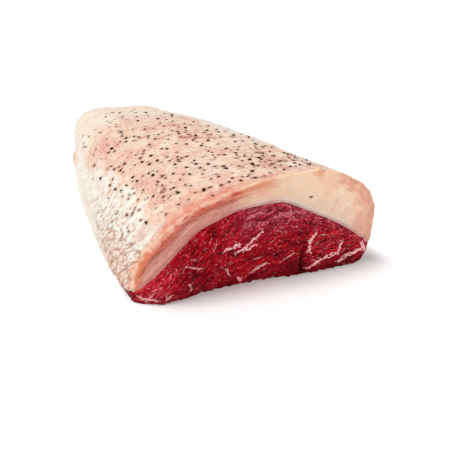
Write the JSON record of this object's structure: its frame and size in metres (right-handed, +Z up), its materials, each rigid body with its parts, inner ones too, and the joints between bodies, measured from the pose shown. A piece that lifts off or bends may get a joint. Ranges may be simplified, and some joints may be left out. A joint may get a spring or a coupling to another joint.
{
  "type": "raw picanha",
  "caption": "Whole raw beef rump cap, cut across its wide end: a marbled red lean face under a thick fat cap with cracked black pepper.",
  "frame": {"origin": "on the surface that the meat lies on, under the middle of its box", "axes": "+X along the cut face, +Y from the cut face to the narrow tail, +Z up through the fat cap"},
  "size_m": [0.1779, 0.2421, 0.0757],
  "materials": {
    "raw_beef": "moist raw beef, satin",
    "beef_fat": "raw beef fat, satin, with black pepper"
  },
  "bodies": {
    "root": {"lean": "raw_beef", "fat_cap": "beef_fat"}
  },
  "joints": []
}
